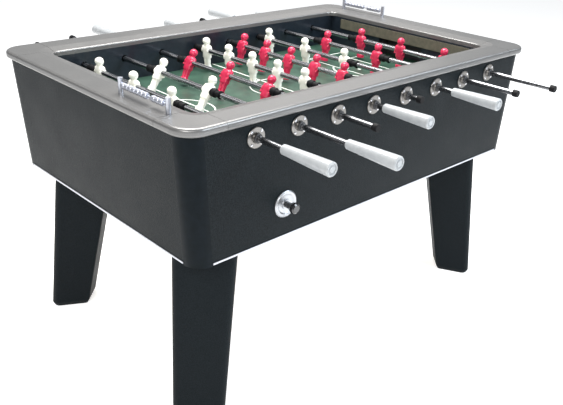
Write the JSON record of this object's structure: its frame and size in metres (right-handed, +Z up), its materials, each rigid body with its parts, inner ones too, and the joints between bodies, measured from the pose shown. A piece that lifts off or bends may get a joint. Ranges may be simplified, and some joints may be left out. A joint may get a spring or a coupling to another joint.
{
  "type": "foosball table",
  "caption": "Table football game: dark cabinet on splayed legs, silver top rail, sliding and turning player rods, score beads and a ball-release knob.",
  "frame": {"origin": "on the floor under the middle of the table", "axes": "+X along the table to the right end, +Y across it from the front to the back along the rods, +Z up"},
  "size_m": [1.422, 1.581, 0.895],
  "materials": {
    "rail_silver": "satin silver-grey laminate over board",
    "panel_black": "black pebble-textured laminate on particle board",
    "post_black": "smooth black moulded corner",
    "trim_silver": "bright extruded strip",
    "field_green": "green printed field board",
    "wall_dark": "dark laminate",
    "board_raw": "raw particle board",
    "return_plastic": "moulded plastic trough",
    "leg_black": "black laminate",
    "bearing_chrome": "polished",
    "screw_steel": "zinc plated",
    "counter_chrome": "polished",
    "plate_silver": "satin dished plate",
    "knob_black": "polished",
    "rod_steel": "polished hollow steel rod",
    "men_white": "cream moulded plastic",
    "men_red": "crimson moulded plastic",
    "handle_silver": "light silver-grey",
    "stop_rubber": "black rubber",
    "liner_nylon": "black nylon",
    "bead_chrome": "polished"
  },
  "bodies": {
    "table": {"top_rails": "rail_silver", "front_panel": "panel_black", "back_panel": "panel_black", "end_panels": "panel_black", "corner_posts": "post_black", "bottom_trim": "trim_silver", "playfield": "field_green", "inner_walls": "wall_dark", "bottom_board": "board_raw", "ball_return": "return_plastic", "legs": "leg_black", "bearing_housings": "bearing_chrome", "bearing_screws": "screw_steel", "score_counters": "counter_chrome", "release_plate": "plate_silver"},
    "liners_1": {"liners_1": "liner_nylon"},
    "rod_1": {"rod_1": "rod_steel", "men_1": "men_white", "handle_1": "handle_silver", "stops_1": "stop_rubber"},
    "liners_2": {"liners_2": "liner_nylon"},
    "rod_2": {"rod_2": "rod_steel", "men_2": "men_white", "handle_2": "handle_silver", "stops_2": "stop_rubber"},
    "liners_3": {"liners_3": "liner_nylon"},
    "rod_3": {"rod_3": "rod_steel", "men_3": "men_red", "handle_3": "handle_silver", "stops_3": "stop_rubber"},
    "liners_4": {"liners_4": "liner_nylon"},
    "rod_4": {"rod_4": "rod_steel", "men_4": "men_white", "handle_4": "handle_silver", "stops_4": "stop_rubber"},
    "liners_5": {"liners_5": "liner_nylon"},
    "rod_5": {"rod_5": "rod_steel", "men_5": "men_red", "handle_5": "handle_silver", "stops_5": "stop_rubber"},
    "liners_6": {"liners_6": "liner_nylon"},
    "rod_6": {"rod_6": "rod_steel", "men_6": "men_white", "handle_6": "handle_silver", "stops_6": "stop_rubber"},
    "liners_7": {"liners_7": "liner_nylon"},
    "rod_7": {"rod_7": "rod_steel", "men_7": "men_red", "handle_7": "handle_silver", "stops_7": "stop_rubber"},
    "liners_8": {"liners_8": "liner_nylon"},
    "rod_8": {"rod_8": "rod_steel", "men_8": "men_red", "handle_8": "handle_silver", "stops_8": "stop_rubber"},
    "left_beads": {"left_beads": "bead_chrome"},
    "left_beads_moved": {"left_beads_moved": "bead_chrome"},
    "right_beads": {"right_beads": "bead_chrome"},
    "right_beads_moved": {"right_beads_moved": "bead_chrome"},
    "release_knob": {"release_knob": "knob_black"}
  },
  "joints": [
    {"name": "rod_1_spin", "type": "hinge", "parent": "table", "child": "liners_1", "pos_m": [-0.4977, 0, 0.795], "axis": [0, 1, 0], "continuous": true},
    {"name": "rod_1_slide", "type": "slide", "parent": "liners_1", "child": "rod_1", "axis": [0, 1, 0], "range_m": [-0.1847, 0.0367]},
    {"name": "rod_2_spin", "type": "hinge", "parent": "table", "child": "liners_2", "pos_m": [-0.3555, 0, 0.795], "axis": [0, 1, 0], "continuous": true},
    {"name": "rod_2_slide", "type": "slide", "parent": "liners_2", "child": "rod_2", "axis": [0, 1, 0], "range_m": [-0.2142, 0.1382]},
    {"name": "rod_3_spin", "type": "hinge", "parent": "table", "child": "liners_3", "pos_m": [-0.2133, 0, 0.795], "axis": [0, 1, 0], "continuous": true},
    {"name": "rod_3_slide", "type": "slide", "parent": "liners_3", "child": "rod_3", "axis": [0, 1, 0], "range_m": [-0.1227, 0.0987]},
    {"name": "rod_4_spin", "type": "hinge", "parent": "table", "child": "liners_4", "pos_m": [-0.0711, 0, 0.795], "axis": [0, 1, 0], "continuous": true},
    {"name": "rod_4_slide", "type": "slide", "parent": "liners_4", "child": "rod_4", "axis": [0, 1, 0], "range_m": [-0.1157, 0.0017]},
    {"name": "rod_5_spin", "type": "hinge", "parent": "table", "child": "liners_5", "pos_m": [0.0711, 0, 0.795], "axis": [0, 1, 0], "continuous": true},
    {"name": "rod_5_slide", "type": "slide", "parent": "liners_5", "child": "rod_5", "axis": [0, 1, 0], "range_m": [-0.0967, 0.0207]},
    {"name": "rod_6_spin", "type": "hinge", "parent": "table", "child": "liners_6", "pos_m": [0.2133, 0, 0.795], "axis": [0, 1, 0], "continuous": true},
    {"name": "rod_6_slide", "type": "slide", "parent": "liners_6", "child": "rod_6", "axis": [0, 1, 0], "range_m": [-0.2167, 0.0047]},
    {"name": "rod_7_spin", "type": "hinge", "parent": "table", "child": "liners_7", "pos_m": [0.3555, 0, 0.795], "axis": [0, 1, 0], "continuous": true},
    {"name": "rod_7_slide", "type": "slide", "parent": "liners_7", "child": "rod_7", "axis": [0, 1, 0], "range_m": [-0.1972, 0.1552]},
    {"name": "rod_8_spin", "type": "hinge", "parent": "table", "child": "liners_8", "pos_m": [0.4977, 0, 0.795], "axis": [0, 1, 0], "continuous": true},
    {"name": "rod_8_slide", "type": "slide", "parent": "liners_8", "child": "rod_8", "axis": [0, 1, 0], "range_m": [-0.0237, 0.1977]},
    {"name": "left_beads_slide", "type": "slide", "parent": "table", "child": "left_beads", "axis": [0, -1, 0], "range_m": [0, 0.0088]},
    {"name": "left_beads_moved_slide", "type": "slide", "parent": "table", "child": "left_beads_moved", "axis": [0, -1, 0], "range_m": [-0.0088, 0.0101]},
    {"name": "right_beads_slide", "type": "slide", "parent": "table", "child": "right_beads", "axis": [0, 1, 0], "range_m": [-0.007, 0.009]},
    {"name": "right_beads_moved_slide", "type": "slide", "parent": "table", "child": "right_beads_moved", "axis": [0, 1, 0], "range_m": [-0.009, 0.0031]},
    {"name": "release_push", "type": "slide", "parent": "table", "child": "release_knob", "axis": [0, 1, 0], "range_m": [0, 0.016], "stiffness_N_per_m": 120}
  ]
}
